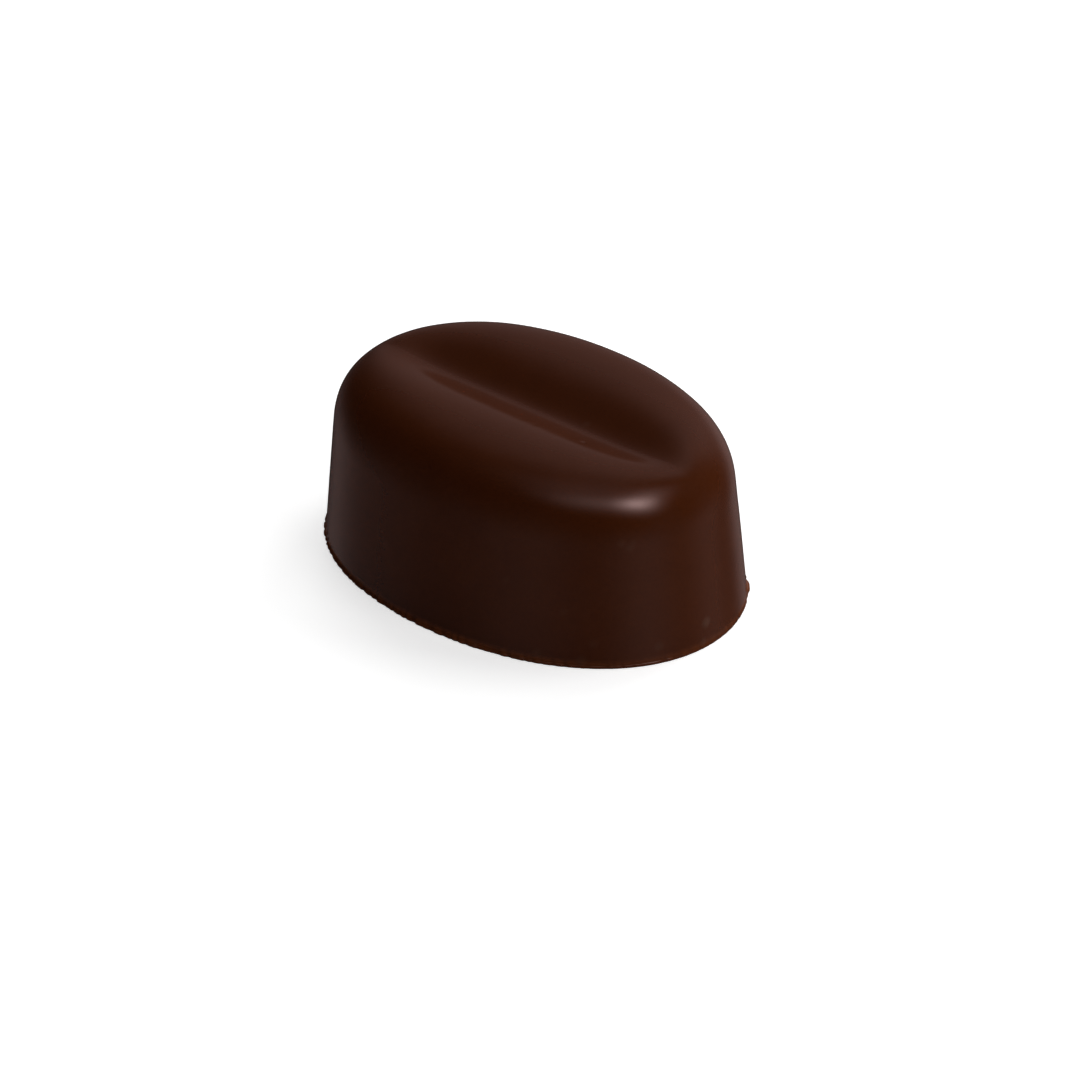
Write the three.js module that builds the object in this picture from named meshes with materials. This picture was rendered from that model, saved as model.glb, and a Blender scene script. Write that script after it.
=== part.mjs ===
// A moulded dark chocolate in the shape of a coffee bean: an oval block with leaning walls,
// a soft shoulder, and a broad valley pressed along its top, with its crease on the centre line.
// Millimetres, +Z up. The origin is the centre of the flat base, and +X runs along the bean.
import * as THREE from "three";
import { ParametricGeometry } from "three/addons/geometries/ParametricGeometry.js";

// The whole piece, over the bead at its foot
const LENGTH = 33;
const WIDTH = 23.25;
const OUTLINE_FULLNESS = 0.0166; // how far it bulges beyond a true ellipse between its four ends
const DRAFT_DEG = 5; // how far everything leans in with height, so that it left its mould

// The thin bead where the chocolate met the edge of its mould
const BEAD_OUT = 0.2;
const BEAD_RISE = 0.55;
const FOOT_RADIUS = 0.15; // the small round under the bead

// The crown, which starts where the wall ends and turns over a shoulder into the top
const SHOULDER_HEIGHT = 8.95;
const CROWN_HEIGHT = 13.67; // to the middle of the crown, as if it had no valley
const SHOULDER_POWER = 5.8; // more leaves the middle of the crown flatter
const BROW_POWER = 2.4; // more turns tighter out of the wall

// The valley along the top
const VALLEY_SHARE = 0.287; // how much of the crown's height it takes away at its middle
const VALLEY_REACH = 0.93; // half its length, as a share of half the outline's length
const VALLEY_SPREAD = 0.765; // half its width, as a share of half the outline's width
const RUNOUT_START = 6; // more keeps it deep for longer on the way to its ends
const RUNOUT_POWER = 1.93; // how fast it then grows shallow
const TAPER_POWER = 0.81; // how fast it grows narrow towards its ends
const CREASE_POWER = 1.65; // 2 is a round valley floor, and 1 is a sharp fold
const FLANK_POWER = 5.5; // how gently its flanks flare out at the top

// How finely the surface is divided
const SLICES = 112;
const FOOT_STEPS = 2;
const BEAD_STEPS = 4;
const WALL_STEPS = 4;
const TOP_STEPS = 24;
const CREASE_SHARE = 0.66; // how far the line the top's rings close on reaches towards the ends

const outline = { a: LENGTH / 2 - BEAD_OUT, b: WIDTH / 2 - BEAD_OUT };
const lean = Math.tan(THREE.MathUtils.degToRad(DRAFT_DEG));

// How far the outline lies outside a true ellipse in this direction.
function fullness(angle) {
  return 1 + OUTLINE_FULLNESS * Math.sin(2 * angle) ** 2;
}

// How much of the crown's height the valley takes away, at a point of the plan.
function valleyShare(x, y) {
  const along = Math.abs(x) / (VALLEY_REACH * outline.a);
  if (along >= 1) return 0;
  const left = 1 - along ** RUNOUT_START;
  const halfWidth = VALLEY_SPREAD * outline.b * left ** TAPER_POWER;
  const across = Math.min(Math.abs(y) / halfWidth, 1);
  return VALLEY_SHARE * left ** RUNOUT_POWER * (1 - across ** CREASE_POWER) ** FLANK_POWER;
}

// The height of the top, at a point of the plan.
function topHeight(x, y) {
  const along = x / outline.a;
  const across = y / outline.b;
  const rim = Math.min(Math.hypot(along, across) / fullness(Math.atan2(across, along)), 1);
  const rise = (1 - rim ** SHOULDER_POWER) ** (1 / BROW_POWER);
  return SHOULDER_HEIGHT + (CROWN_HEIGHT - SHOULDER_HEIGHT) * rise * (1 - valleyShare(x, y));
}

// The rings from the middle of the base up to the shoulder: how far each stands out, and its height.
function sideRings() {
  const rings = [];
  for (let i = 0; i <= FOOT_STEPS; i++) {
    const turn = (i / FOOT_STEPS) * (Math.PI / 2);
    const out = BEAD_OUT - FOOT_RADIUS * (1 - Math.sin(turn));
    rings.push({ out, z: FOOT_RADIUS * (1 - Math.cos(turn)) });
  }
  for (let i = 1; i <= BEAD_STEPS; i++) {
    const turn = (i / BEAD_STEPS) * (Math.PI / 2);
    const z = FOOT_RADIUS + (BEAD_RISE - FOOT_RADIUS) * Math.sin(turn);
    rings.push({ out: BEAD_OUT * Math.cos(turn), z });
  }
  for (let i = 1; i <= WALL_STEPS; i++) {
    const z = BEAD_RISE + ((SHOULDER_HEIGHT - BEAD_RISE) * i) / WALL_STEPS;
    rings.push({ out: 0, z });
  }
  return rings;
}

// A point of the side, on the ring that stands out this far at this height.
function sidePoint(ring, angle, target) {
  const full = fullness(angle);
  const x = (outline.a + ring.out) * Math.cos(angle) * full;
  const y = (outline.b + ring.out) * Math.sin(angle) * full;
  target.set(x, y, ring.z);
}

// A point of the top. Its rings are ovals that close, from the outline, on the line of the crease.
function topPoint(share, angle, target) {
  const open = Math.cos((share * Math.PI) / 2);
  const crease = CREASE_SHARE * outline.a;
  const full = 1 + (fullness(angle) - 1) * open;
  const x = (crease + (outline.a - crease) * open) * Math.cos(angle) * full;
  const y = outline.b * open * Math.sin(angle) * full;
  target.set(x, y, topHeight(x, y));
}

// The closed skin of the chocolate, from the middle of its base round to the crease.
function makePraline() {
  const rings = sideRings();
  const stacks = rings.length + TOP_STEPS;
  const point = (around, up, target) => {
    const step = Math.round(up * stacks);
    const angle = around * 2 * Math.PI;
    if (step === 0) target.set(0, 0, 0);
    else if (step <= rings.length) sidePoint(rings[step - 1], angle, target);
    else topPoint((step - rings.length) / TOP_STEPS, angle, target);
    target.x *= 1 - (target.z * lean) / outline.a;
    target.y *= 1 - (target.z * lean) / outline.b;
  };
  return new ParametricGeometry(point, SLICES, stacks);
}

function darkChocolate() {
  return new THREE.MeshStandardMaterial({ color: 0x3a1d12, roughness: 0.4, metalness: 0 });
}

const praline = new THREE.Mesh(makePraline(), darkChocolate());
praline.name = "praline";

const coffeeBeanPraline = new THREE.Group();
coffeeBeanPraline.add(praline);

export default coffeeBeanPraline;
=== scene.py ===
# Dark chocolate praline in the shape of a coffee bean, on a plain pale studio floor.
# Sizes are typed in millimetres and turned into metres by mm. +X runs along the bean, +Z is up.
import bmesh
import bpy
import math
from mathutils import Matrix, Vector, noise
from mathutils.bvhtree import BVHTree


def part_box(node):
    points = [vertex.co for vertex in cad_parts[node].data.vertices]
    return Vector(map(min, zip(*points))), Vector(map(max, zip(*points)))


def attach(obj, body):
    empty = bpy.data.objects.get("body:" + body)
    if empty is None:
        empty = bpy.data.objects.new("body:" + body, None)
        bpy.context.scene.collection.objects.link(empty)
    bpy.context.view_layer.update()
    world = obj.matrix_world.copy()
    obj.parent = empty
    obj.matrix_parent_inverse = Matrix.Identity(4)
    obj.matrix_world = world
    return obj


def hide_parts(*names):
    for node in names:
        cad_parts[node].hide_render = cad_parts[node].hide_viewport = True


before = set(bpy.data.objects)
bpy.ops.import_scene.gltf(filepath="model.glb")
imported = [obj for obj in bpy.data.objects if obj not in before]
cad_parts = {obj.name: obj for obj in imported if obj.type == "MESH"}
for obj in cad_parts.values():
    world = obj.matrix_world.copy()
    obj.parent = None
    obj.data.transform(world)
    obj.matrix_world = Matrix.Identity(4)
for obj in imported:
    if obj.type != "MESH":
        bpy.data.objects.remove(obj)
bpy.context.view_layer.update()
mm = 0.001
print("frame loaded")


# Camera
camera = {
    "azimuth": 39.73,     # degrees round from the near long side towards the left end
    "elevation": 33.06,
    "roll": -0.87,        # degrees that the camera leans to its left
    "distance": 505.6,
    "pivotHeight": 5.93,  # the point on the bean's axis that the next two values are about
    "pivotPixel": (533.9, 486.6),
    "pixelsPerMm": 14.44,
    "picture": 1080,      # pixels along each side
    "pixelMiddle": 0.5,
    "sensor": 36,
    "clipStart": 0.01,    # metres
}


# Where the camera stands in mm, its own axes, and how long its picture's depth is in pixels.
def cameraView():
    turn = math.radians(camera["azimuth"])
    tilt = math.radians(camera["elevation"])
    roll = math.radians(camera["roll"])
    level = Vector((math.cos(turn), math.sin(turn), 0))
    back = Vector((math.sin(turn) * math.cos(tilt), -math.cos(turn) * math.cos(tilt), math.sin(tilt)))
    upright = back.cross(level)
    right = level * math.cos(roll) + upright * math.sin(roll)
    up = upright * math.cos(roll) - level * math.sin(roll)
    place = Vector((0, 0, camera["pivotHeight"])) + back * camera["distance"]

    # turned a little, so that the pivot lands on its pixel
    focal = camera["pixelsPerMm"] * camera["distance"]
    middle = camera["picture"] / 2
    aside = (middle - camera["pivotPixel"][0]) / focal
    below = (middle - camera["pivotPixel"][1]) / focal
    back = (back - right * aside + up * below).normalized()
    right = up.cross(back).normalized()
    up = back.cross(right)
    return place, right, up, back, focal


def makeCamera():
    place, right, up, back, focal = cameraView()
    data = bpy.data.cameras.new("camera")
    data.sensor_width = camera["sensor"]
    data.lens = focal * camera["sensor"] / camera["picture"]
    data.clip_start = camera["clipStart"]
    made = bpy.data.objects.new("camera", data)
    made.location = place * mm
    made.rotation_euler = Matrix((right, up, back)).transposed().to_euler()
    bpy.context.scene.collection.objects.link(made)
    bpy.context.scene.camera = made


# The bean's own shape. Its length and width come from the frame.
bean = {
    "clearance": 0.03,         # kept free inside the frame's box
    "crownHeight": 13.64,      # of the rounded top, before its valley
    "outlineFullness": 0.0166, # how far the outline bulges beyond a true ellipse between its ends
    "draft": 5,                # degrees
    "shoulderHeight": 8.95,
    "shoulderPower": 5.8,
    "browPower": 2.4,
    "valleyShare": 0.287,      # how much of the crown the valley takes away at its middle
    "valleyReach": 0.93,
    "valleySpread": 0.765,
    "runoutStart": 6,
    "runoutPower": 1.93,
    "taperPower": 0.81,
    "creasePower": 1.65,
    "flankPower": 5.5,
    "beadOut": 0.2,
    "beadRise": 0.5,
    "lipHeight": 0.22,
    "footRadius": 0.15,
    "creaseShare": 0.66,       # how far the line the top's rings close on reaches
    "mergeDistance": 0.0005,
    "slices": 640,
    "baseRings": 12,
    "footRings": 3,
    "beadRings": 8,
    "wallRings": 42,
    "topRings": 78,
}
low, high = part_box("praline")
halfLength = (high[0] - low[0]) / 2 / mm - bean["beadOut"] - bean["clearance"]
halfWidth = (high[1] - low[1]) / 2 / mm - bean["beadOut"] - bean["clearance"]


def fullness(angle):
    return 1 + bean["outlineFullness"] * math.sin(2 * angle) ** 2


def valleyShare(x, y):
    along = abs(x) / (bean["valleyReach"] * halfLength)
    if along >= 1:
        return 0
    left = 1 - along ** bean["runoutStart"]
    width = bean["valleySpread"] * halfWidth * left ** bean["taperPower"]
    across = min(abs(y) / width, 1)
    floor = bean["valleyShare"] * left ** bean["runoutPower"]
    return floor * (1 - across ** bean["creasePower"]) ** bean["flankPower"]


def topHeight(x, y):
    along = x / halfLength
    across = y / halfWidth
    rim = min(math.hypot(along, across) / fullness(math.atan2(across, along)), 1)
    rise = (1 - rim ** bean["shoulderPower"]) ** (1 / bean["browPower"])
    crown = bean["crownHeight"] - bean["shoulderHeight"]
    return bean["shoulderHeight"] + crown * rise * (1 - valleyShare(x, y))


# A point of the ovals that close from the outline, openness 1, onto the crease, openness 0.
def ovalPoint(openness, angle):
    crease = bean["creaseShare"] * halfLength
    full = 1 + (fullness(angle) - 1) * openness
    x = (crease + (halfLength - crease) * openness) * math.cos(angle) * full
    y = halfWidth * openness * math.sin(angle) * full
    return x, y


# The bead where the chocolate met its mould's edge: whole along the near left, and weak elsewhere.
bead = {
    "least": 0.2,             # the share of it that is there all the way round
    "ledges": [               # the middle of each in degrees round from +X, its spread, its share
        (252, 48, 0.95),
        (335, 40, 0.1),
        (60, 45, 0.3),
        (140, 45, 0.3),
    ],
    "ledgePower": 4,          # more ends each ledge more sharply
    "nick": (32, 2.5, 0.8),   # a small lump that sticks out at the right
    "worn": 0.22,             # share of the bead that is missing on the whole
    "ragged": 1.1,            # and how much that share comes and goes along it
    "ragLength": 0.36,
    "fineRag": 0.3,
    "fineLength": 0.2,
}


def ledgeShare(angle, middle, spread, strength):
    off = (math.degrees(angle) - middle + 180) % 360 - 180
    return strength * math.exp(-(abs(off) / spread) ** bead["ledgePower"])


def beadShare(angle):
    share = bead["least"] + sum(ledgeShare(angle, *ledge) for ledge in bead["ledges"])
    place = Vector((halfLength * math.cos(angle), halfWidth * math.sin(angle), 0))
    worn = bead["worn"] + bead["ragged"] * noise.noise(place / bead["ragLength"])
    worn += bead["fineRag"] * noise.noise(place / bead["fineLength"])
    share = min(share, 1) * (1 - min(max(worn, 0), 1))
    return min(share + ledgeShare(angle, *bead["nick"]), 1)


# How far each ring of the side stands out, and its height.
def sideRings():
    rings = []
    for i in range(bean["footRings"] + 1):
        turn = i / bean["footRings"] * math.pi / 2
        out = bean["beadOut"] - bean["footRadius"] * (1 - math.sin(turn))
        rings.append((out, bean["footRadius"] * (1 - math.cos(turn))))
    for i in range(bean["beadRings"] + 1):
        turn = i / bean["beadRings"] * math.pi / 2
        rise = (bean["beadRise"] - bean["lipHeight"]) * (1 - math.cos(turn))
        rings.append((bean["beadOut"] * (1 - math.sin(turn)), bean["lipHeight"] + rise))
    wall = bean["shoulderHeight"] - bean["beadRise"]
    for i in range(1, bean["wallRings"] + 1):
        rings.append((0, bean["beadRise"] + wall * i / bean["wallRings"]))
    return rings


def skinPoint(step, angle, rings):
    baseRings = bean["baseRings"]
    topStep = step - baseRings - len(rings) + 1
    out = 0
    if step < baseRings:
        x, y = ovalPoint(step / baseRings, angle)
        height = 0
        out = rings[0][0] * step / baseRings * beadShare(angle)
    elif topStep <= 0:
        x, y = ovalPoint(1, angle)
        out, height = rings[step - baseRings]
        out *= beadShare(angle)
    else:
        x, y = ovalPoint(math.cos(topStep / bean["topRings"] * math.pi / 2), angle)
        height = topHeight(x, y)
    full = fullness(angle)
    x += out * math.cos(angle) * full
    y += out * math.sin(angle) * full
    lean = math.tan(math.radians(bean["draft"])) * height
    return Vector((x * (1 - lean / halfLength), y * (1 - lean / halfWidth), height))


# Small faults of a real casting
faults = {
    "wave": 0.016,            # height of the slow swells all over the skin
    "waveLength": 4.2,
    "ripple": 0.004,
    "rippleLength": 1.3,
    "scrape": 0.05,           # how far the scraped underside is hollowed
    "scrapeLength": 3.5,
    "scrapeSquash": 0.3,      # draws its hollows out across the bean
    "scrapeLayer": 7,         # which layer of the noise they are taken from
    "baseHeight": 0.001,      # what lies below this is the underside
    "edgeStart": 0.42,        # up to here the painted highlight on the foot and bead shows in full, in mm up from the foot
    "edgeEnd": 0.6,
    "edgeLeast": 0.1,         # of the painted highlight on the foot, where there is no bead
}

# Lumps, pits and pale specks: the pixel of the photograph that each was seen at, how wide it is,
# how far it stands out, and how pale it is.
spots = {
    "pale speck at the right": ((705.6, 621.8), 0.50, 0.030, 0.55),
    "small speck below it": ((702.5, 641.5), 0.35, 0.020, 0.35),
    "speck near the foot": ((659, 645.8), 0.45, 0.020, 0.2),
    "faint speck near the foot": ((593, 643.7), 0.45, 0.010, 0.1),
    "patch under the highlight, left": ((621, 543), 0.40, 0.012, 0.15),
    "patch under the highlight, middle": ((629, 547), 0.40, 0.012, 0.2),
    "patch under the highlight, right": ((632, 542), 0.30, 0.010, 0.15),
    "spot on the far line": ((585.6, 424), 0.35, 0.010, 0.15),
    "pit on the near line": ((582.1, 441.8), 0.32, -0.050, 0),
    "first mark in the crease": ((526, 419), 0.40, -0.012, 0),
    "second mark in the crease": ((536, 424), 0.40, -0.012, 0),
    "lump over the bead": ((537, 652.5), 0.40, 0.025, 0.2),
    "dash on the foot": ((581, 661), 0.50, 0.020, 0.2),
    "dash on the bead": ((474, 643.5), 0.35, 0.020, 0.3),
    "faint lump on the wall": ((505.5, 579.3), 0.35, 0.006, 0.1),
    "faint lump low on the wall": ((563, 611.6), 0.35, 0.006, 0.1),
    "faint lump at the left": ((384.8, 543), 0.40, 0.008, 0.1),
}


# Where the line of sight through a pixel meets the skin.
def placeSeen(skinTree, pixel):
    place, right, up, back, focal = cameraView()
    middle = camera["picture"] / 2 - camera["pixelMiddle"]
    aside = (pixel[0] - middle) / focal
    below = (pixel[1] - middle) / focal
    look = (right * aside - up * below - back).normalized()
    return skinTree.ray_cast(place, look)[0]


# Moves the skin by its faults, and keeps where it is pale and where its foot and bead get a painted
# highlight.
def roughen(skin):
    edge = skin.verts.layers.float.new("edge")
    pale = skin.verts.layers.float.new("pale")
    skin.normal_update()
    skinTree = BVHTree.FromBMesh(skin)
    placed = [(placeSeen(skinTree, pixel), *rest) for pixel, *rest in spots.values()]
    moved = []
    for vert in skin.verts:
        place = vert.co.copy()
        if place.z < faults["baseHeight"]:
            sample = Vector((place.x, place.y * faults["scrapeSquash"], faults["scrapeLayer"]))
            hollow = max(noise.noise(sample / faults["scrapeLength"]), 0)
            moved.append(Vector((place.x, place.y, faults["scrape"] * hollow)))
            # the underside takes the lighter brown in full
            vert[edge] = 1
            continue
        swell = faults["wave"] * noise.noise(place / faults["waveLength"])
        swell += faults["ripple"] * noise.noise(place / faults["rippleLength"])
        for spot, wide, out, paleness in placed:
            off = (place - spot).length / wide
            if off < 1:
                swell += out * (1 - off * off) ** 2
                vert[pale] = paleness * (1 - off * off)
        # painted highlight along the foot and the bead's top, in full where the bead stands out
        share = (faults["edgeEnd"] - place.z) / (faults["edgeEnd"] - faults["edgeStart"])
        worn = beadShare(math.atan2(place.y / halfWidth, place.x / halfLength))
        vert[edge] = min(max(share, 0), 1) * min(faults["edgeLeast"] + worn, 1)
        moved.append(place + vert.normal * swell)
    for vert, place in zip(skin.verts, moved):
        vert.co = place


def makeBean():
    rings = sideRings()
    steps = bean["baseRings"] + len(rings) - 1 + bean["topRings"]
    skin = bmesh.new()
    line = [skin.verts.new((1, 0, i)) for i in range(steps + 1)]
    edges = [skin.edges.new(pair) for pair in zip(line, line[1:])]
    bmesh.ops.spin(skin, geom=line + edges, axis=(0, 0, 1), cent=(0, 0, 0), angle=2 * math.pi,
                   steps=bean["slices"], use_merge=True)
    for vert in skin.verts:
        vert.co = skinPoint(round(vert.co.z), math.atan2(vert.co.y, vert.co.x), rings)
    bmesh.ops.remove_doubles(skin, verts=skin.verts, dist=bean["mergeDistance"])
    bmesh.ops.recalc_face_normals(skin, faces=skin.faces)
    roughen(skin)
    for vert in skin.verts:
        vert.co *= mm
    for face in skin.faces:
        face.smooth = True
    mesh = bpy.data.meshes.new("moulded_bean")
    skin.to_mesh(mesh)
    skin.free()
    made = bpy.data.objects.new("moulded_bean", mesh)
    bpy.context.scene.collection.objects.link(made)
    print("bean modelled with", len(mesh.polygons), "faces")
    return made


# Chocolate
chocolate = {
    "brown": (0.0545, 0.0122, 0.0031),
    "darkBrown": (0.0515, 0.0114, 0.0029),
    "mottleLength": 3.0,
    "mottleRange": (0.35, 0.65),           # the noise that turns one brown into the other
    "speckBrown": (0.0330, 0.0070, 0.0018),
    "speckLength": 0.22,
    "speckShare": 0.16,
    "speckRange": (0.45, 0.7),
    "speckDetail": 2,
    "undersideAndEdgeHighlight": (0.130, 0.034, 0.0100),   # lighter brown of the underside, and a painted highlight along the foot and bead
    "bloom": (0.085, 0.040, 0.026),        # pale specks
    "roughness": 0.15,
    "roughnessSpread": 0.02,
    "patchLength": 2.4,
    "patchRange": (0.3, 0.7),
    "patchDetail": 4,
    "grainLength": 0.16,
    "grainHeight": 0.0007,
    "streakLength": 0.7,
    "streakHeight": 0.0012,
    "streakStretch": (1, 1, 0.12),         # drawn out up and down the wall
    "ior": 1.42,
}


# A noise of this grain length in mm, read at a place of the object.
def addNoise(tree, place, length, stretch=(1, 1, 1), detail=3):
    mapping = tree.nodes.new("ShaderNodeMapping")
    mapping.inputs["Scale"].default_value = stretch
    tree.links.new(place, mapping.inputs["Vector"])
    made = tree.nodes.new("ShaderNodeTexNoise")
    made.inputs["Scale"].default_value = 1 / (length * mm)
    made.inputs["Detail"].default_value = detail
    tree.links.new(mapping.outputs["Vector"], made.inputs["Vector"])
    return made.outputs["Fac"]


def addRange(tree, value, start, end, low, high):
    made = tree.nodes.new("ShaderNodeMapRange")
    made.interpolation_type = "SMOOTHSTEP"
    made.inputs["From Min"].default_value = start
    made.inputs["From Max"].default_value = end
    made.inputs["To Min"].default_value = low
    made.inputs["To Max"].default_value = high
    tree.links.new(value, made.inputs["Value"])
    return made.outputs["Result"]


def addMix(tree, share, first, second):
    made = tree.nodes.new("ShaderNodeMix")
    made.data_type = "RGBA"
    tree.links.new(share, made.inputs["Factor"])
    for value, socket in ((first, made.inputs["A"]), (second, made.inputs["B"])):
        if isinstance(value, tuple):
            socket.default_value = (*value, 1)
        else:
            tree.links.new(value, socket)
    return made.outputs["Result"]


def addAttribute(tree, name):
    made = tree.nodes.new("ShaderNodeAttribute")
    made.attribute_name = name
    return made.outputs["Fac"]


def addBump(tree, value, height, under=None):
    made = tree.nodes.new("ShaderNodeBump")
    made.inputs["Strength"].default_value = 1.0
    made.inputs["Distance"].default_value = height * mm
    tree.links.new(value, made.inputs["Height"])
    if under:
        tree.links.new(under, made.inputs["Normal"])
    return made.outputs["Normal"]


def makeChocolate():
    material = bpy.data.materials.new("dark_chocolate")
    material.use_nodes = True
    tree = material.node_tree
    shader = tree.nodes["Principled BSDF"]
    shader.inputs["IOR"].default_value = chocolate["ior"]
    place = tree.nodes.new("ShaderNodeTexCoord").outputs["Object"]

    mottle = addNoise(tree, place, chocolate["mottleLength"])
    mottle = addRange(tree, mottle, *chocolate["mottleRange"], 0, 1)
    colour = addMix(tree, mottle, chocolate["brown"], chocolate["darkBrown"])
    specks = addNoise(tree, place, chocolate["speckLength"], detail=chocolate["speckDetail"])
    specks = addRange(tree, specks, *chocolate["speckRange"], 0, chocolate["speckShare"])
    colour = addMix(tree, specks, colour, chocolate["speckBrown"])
    # painted highlight along the foot and bead, and the lighter brown underside
    colour = addMix(tree, addAttribute(tree, "edge"), colour, chocolate["undersideAndEdgeHighlight"])
    colour = addMix(tree, addAttribute(tree, "pale"), colour, chocolate["bloom"])
    tree.links.new(colour, shader.inputs["Base Color"])

    smooth = chocolate["roughness"]
    spread = chocolate["roughnessSpread"]
    patch = addNoise(tree, place, chocolate["patchLength"], detail=chocolate["patchDetail"])
    patch = addRange(tree, patch, *chocolate["patchRange"], smooth - spread, smooth + spread)
    tree.links.new(patch, shader.inputs["Roughness"])

    grain = addNoise(tree, place, chocolate["grainLength"])
    streaks = addNoise(tree, place, chocolate["streakLength"], chocolate["streakStretch"])
    bump = addBump(tree, grain, chocolate["grainHeight"])
    bump = addBump(tree, streaks, chocolate["streakHeight"], bump)
    tree.links.new(bump, shader.inputs["Normal"])
    return material


# Studio: a real floor for the camera and for soft light, and a world that only mirrors see.
studio = {
    "floorHalf": 3.0,
    "floorWhite": 0.85,
    "nearGlow": 0.66,      # what the camera sees of the floor besides its light, near the bean
    "farGlow": 0.85,
    "nearReach": 0.1,
    "farReach": 1.4,
    "airWhite": 0.85,
    "mirroredTint": (1.4, 1.0, 0.97),
}


def makeStageMaterial():
    material = bpy.data.materials.new("studio_floor")
    material.use_nodes = True
    tree = material.node_tree
    shader = tree.nodes["Principled BSDF"]
    shader.inputs["Roughness"].default_value = 1.0
    shader.inputs["Specular IOR Level"].default_value = 0.0
    shader.inputs["Base Color"].default_value = (*(studio["floorWhite"],) * 3, 1)
    shader.inputs["Emission Color"].default_value = (1, 1, 1, 1)
    away = tree.nodes.new("ShaderNodeVectorMath")
    away.operation = "LENGTH"
    tree.links.new(tree.nodes.new("ShaderNodeTexCoord").outputs["Object"], away.inputs[0])
    near, far = studio["nearReach"], studio["farReach"]
    strength = addRange(tree, away.outputs["Value"], near, far, studio["nearGlow"], studio["farGlow"])
    glow = tree.nodes.new("ShaderNodeMath")
    glow.operation = "MULTIPLY"
    tree.links.new(strength, glow.inputs[0])
    tree.links.new(tree.nodes.new("ShaderNodeLightPath").outputs["Is Camera Ray"], glow.inputs[1])
    tree.links.new(glow.outputs[0], shader.inputs["Emission Strength"])
    return material


def makeFloor():
    plane = bmesh.new()
    bmesh.ops.create_grid(plane, x_segments=1, y_segments=1, size=studio["floorHalf"])
    mesh = bpy.data.meshes.new("studio_floor")
    plane.to_mesh(mesh)
    plane.free()
    made = bpy.data.objects.new("studio_floor", mesh)
    bpy.context.scene.collection.objects.link(made)
    made.data.materials.append(makeStageMaterial())
    made.visible_glossy = False


# Soft glows that only mirrors see: what each is, bearing and height in degrees, sharpness, strength.
# Bearings are counted from the near long side towards the right end.
mirrored = [
    ("backdrop", 205, 36, 12, 0.15),
    ("backdrop left", 222, 12, 25, 0.07),
    ("backdrop right", 185, 24, 25, 0.14),
    ("backdrop top", 202, 55, 20, 0.14),
    ("backdrop foot", 190, -6, 25, 0.22),
    ("backdrop foot left", 216, -6, 25, 0.06),
    ("floor behind right", 188, -30, 20, 0.13),
    ("floor behind left", 262, -29, 18, 0.12),
    ("ceiling", 0, 86, 20, 0.25),
    ("lamp's spread", 25, 61, 30, 0.48),
    ("lamp's spread", 50, 58, 30, 0.40),
    ("lamp's spread", 107, 61, 40, 0.85),
    ("lamp", 79, 55, 65, 4.60),
    ("lamp's foot", 77, 46, 40, 1.60),
    ("floor back right", 130, -20, 15, 0.17),
    ("floor near right", 70, -24, 12, 0.18),
    ("floor near", 0, -25, 12, 0.10),
    ("floor left", 300, -26, 12, 0.07),
    ("room", 0, 0, 0, 0.004),
]


def towards(bearing, height):
    turn = math.radians(bearing)
    rise = math.radians(height)
    return Vector((math.sin(turn) * math.cos(rise), -math.cos(turn) * math.cos(rise), math.sin(rise)))


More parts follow.
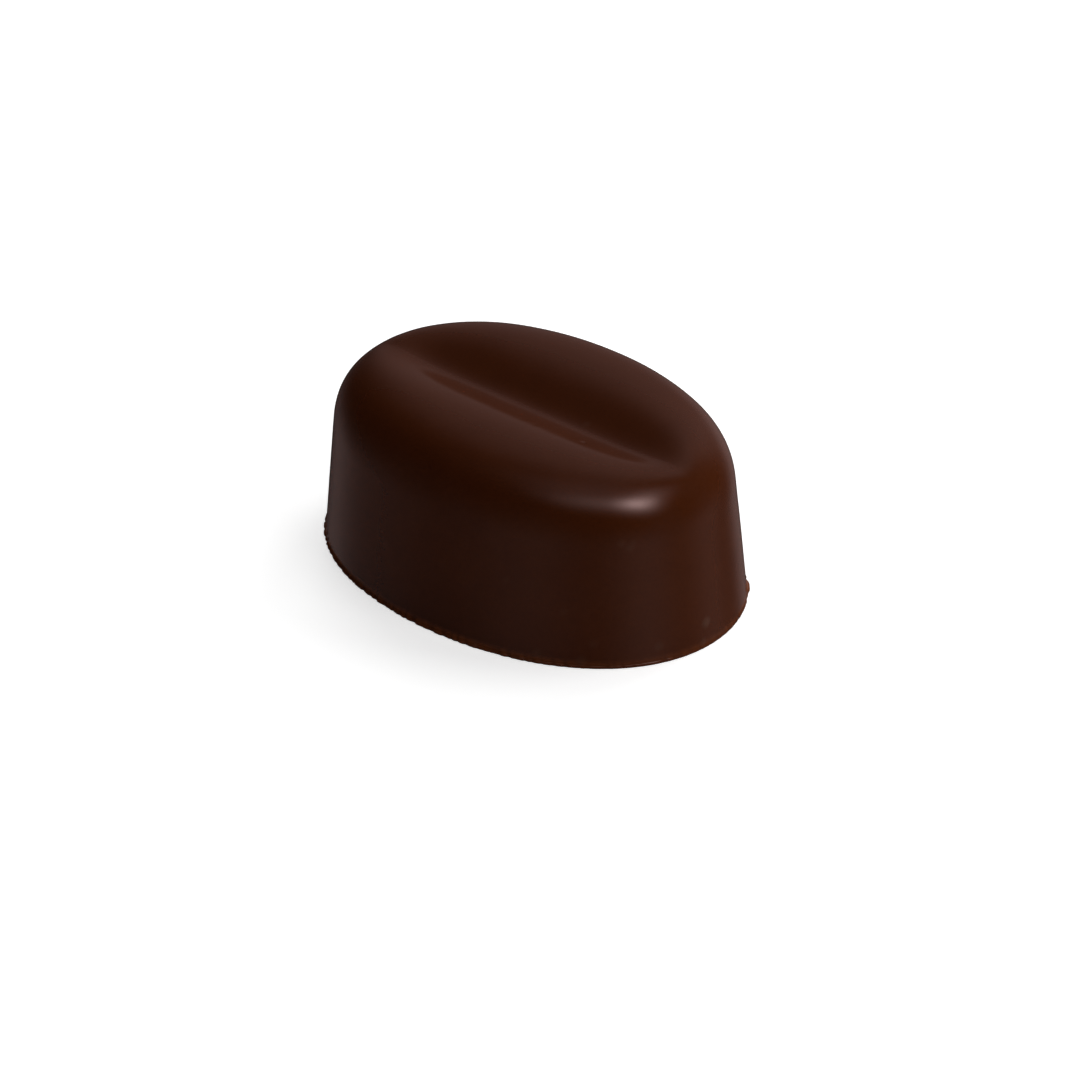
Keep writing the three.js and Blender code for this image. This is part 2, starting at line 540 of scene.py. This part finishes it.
def makeAir():
    world = bpy.data.worlds.new("studio")
    world.use_nodes = True
    nodes = world.node_tree.nodes
    links = world.node_tree.links
    look = nodes.new("ShaderNodeTexCoord")
    total = None
    for what, bearing, height, sharpness, strength in mirrored:
        dot = nodes.new("ShaderNodeVectorMath")
        dot.label = what
        dot.operation = "DOT_PRODUCT"
        dot.inputs[1].default_value = towards(bearing, height)
        links.new(look.outputs["Generated"], dot.inputs[0])
        fall = nodes.new("ShaderNodeMath")
        fall.operation = "MULTIPLY_ADD"
        fall.inputs[1].default_value = sharpness
        fall.inputs[2].default_value = -sharpness
        links.new(dot.outputs["Value"], fall.inputs[0])
        glow = nodes.new("ShaderNodeMath")
        glow.operation = "EXPONENT"
        links.new(fall.outputs[0], glow.inputs[0])
        add = nodes.new("ShaderNodeMath")
        add.operation = "MULTIPLY_ADD"
        add.inputs[1].default_value = strength
        add.inputs[2].default_value = 0
        links.new(glow.outputs[0], add.inputs[0])
        if total:
            links.new(total.outputs[0], add.inputs[2])
        total = add
    ray = nodes.new("ShaderNodeLightPath")
    gloss = nodes.new("ShaderNodeMath")
    gloss.operation = "MULTIPLY"
    links.new(total.outputs[0], gloss.inputs[0])
    links.new(ray.outputs["Is Glossy Ray"], gloss.inputs[1])
    lit = nodes.new("ShaderNodeBackground")
    lit.inputs["Color"].default_value = (*studio["mirroredTint"], 1)
    links.new(gloss.outputs[0], lit.inputs["Strength"])
    seen = nodes["Background"]
    seen.inputs["Color"].default_value = (*(studio["airWhite"],) * 3, 1)
    mix = nodes.new("ShaderNodeMixShader")
    links.new(ray.outputs["Is Camera Ray"], mix.inputs["Fac"])
    links.new(lit.outputs["Background"], mix.inputs[1])
    links.new(seen.outputs["Background"], mix.inputs[2])
    links.new(mix.outputs["Shader"], nodes["World Output"].inputs["Surface"])
    world.cycles.sampling_method = "NONE"
    bpy.context.scene.world = world


# Soft boxes: name, bearing, height, distance, width and height in metres, watts.
# Mirrors do not see them.
softBoxes = [
    ("front", 0, 10, 0.9, 0.55, 0.55, 0.35),
    ("front left", 315, 10, 0.9, 0.55, 0.55, 0.45),
    ("right", 88, 21, 0.9, 0.55, 0.9, 3.0),
    ("right back", 135, 26, 0.9, 0.55, 0.9, 3.4),
    ("back", 180, 20, 0.9, 0.55, 0.9, 2.8),
    ("left back", 225, 22, 0.9, 0.55, 0.9, 1.9),
    ("top", 195, 62, 0.9, 0.6, 0.6, 2.1),
]


def makeSoftBox(name, bearing, height, distance, width, tall, watts):
    data = bpy.data.lights.new(name, "AREA")
    data.shape = "ELLIPSE"
    data.size = width
    data.size_y = tall
    data.energy = watts
    made = bpy.data.objects.new(name, data)
    made.location = towards(bearing, height) * distance
    made.rotation_euler = towards(bearing, height).to_track_quat("Z", "Y").to_euler()
    made.visible_glossy = False
    bpy.context.scene.collection.objects.link(made)


makeCamera()
print("camera set")
praline = makeBean()
praline.data.materials.append(makeChocolate())
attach(praline, "root")
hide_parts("praline")
makeFloor()
makeAir()
for box in softBoxes:
    makeSoftBox(*box)
print("studio lit")

bpy.context.scene.view_settings.view_transform = "Standard"
